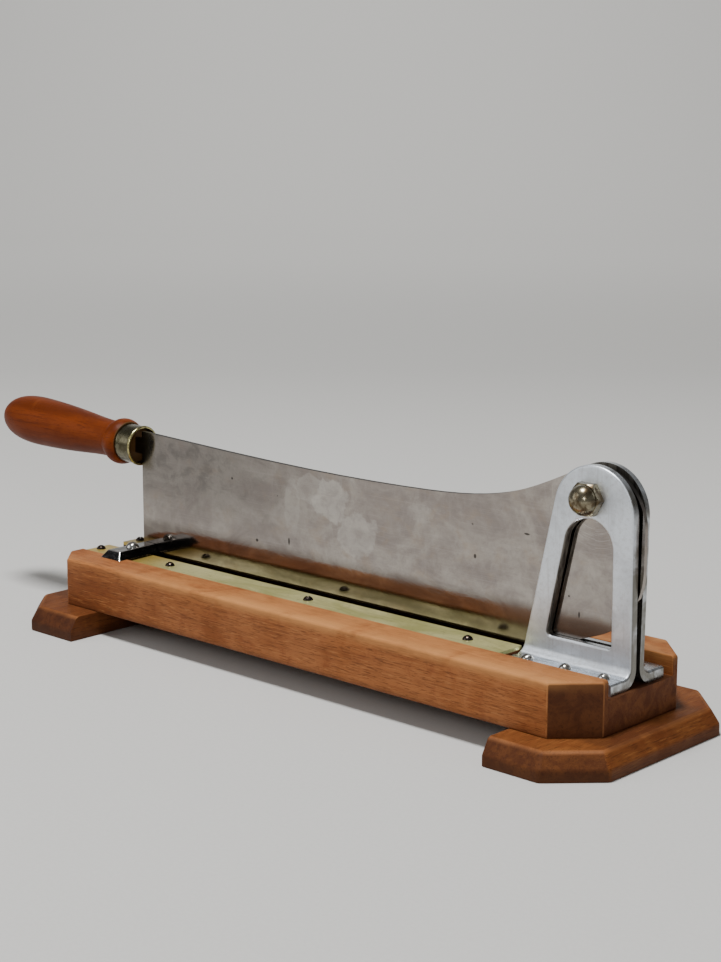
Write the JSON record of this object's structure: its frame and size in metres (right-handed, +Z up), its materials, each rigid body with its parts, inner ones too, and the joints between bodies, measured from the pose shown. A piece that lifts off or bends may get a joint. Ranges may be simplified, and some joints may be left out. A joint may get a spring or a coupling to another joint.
{
  "type": "lever bread slicer",
  "caption": "Lever bread slicer: long hinged steel blade with a turned wooden handle that drops into a slot in a wooden base on two cross feet.",
  "frame": {"origin": "under the middle of the whole length, in the blade's plane, on the surface the feet stand on", "axes": "+X runs along the base from the handle to the pivot, +Y to the back, +Z up"},
  "size_m": [0.5486, 0.1504, 0.1488],
  "materials": {
    "base_wood": "oiled red-brown hardwood, worn lighter along the edges",
    "handle_wood": "varnished red-brown turned wood",
    "aged_brass": "aged strip with a pale greenish-yellow patina",
    "worn_chrome": "old polished plating with fine wear",
    "blade_steel": "polished carbon steel with grey mottled stains",
    "aged_nickel": "tarnished greenish nickel",
    "dark_screw": "darkened steel",
    "bright_screw": "worn bright steel",
    "spacer_steel": "plain steel",
    "pivot_brass": "aged brown brass"
  },
  "bodies": {
    "base": {"base_beam": "base_wood", "left_foot": "base_wood", "right_foot": "base_wood", "left_foot_screws": "dark_screw", "right_foot_screws": "dark_screw", "front_strip": "aged_brass", "rear_strip": "aged_brass", "front_strip_screws": "dark_screw", "rear_strip_screws": "dark_screw", "front_bracket": "worn_chrome", "rear_bracket": "worn_chrome", "front_bracket_screws": "bright_screw", "rear_bracket_screws": "bright_screw", "front_blade_guide": "worn_chrome", "rear_blade_guide": "worn_chrome", "front_guide_screw": "bright_screw", "rear_guide_screw": "bright_screw", "front_spacer_washer": "spacer_steel", "rear_spacer_washer": "spacer_steel", "pivot_bolt": "pivot_brass", "dome_nut": "pivot_brass"},
    "blade_arm": {"blade": "blade_steel", "handle_grip": "handle_wood", "handle_ferrule": "aged_nickel"}
  },
  "joints": [
    {"name": "blade_hinge", "type": "hinge", "parent": "base", "child": "blade_arm", "pos_m": [0.22629, 0, 0.131], "axis": [0, 1, 0], "range_deg": [0, 85]}
  ]
}
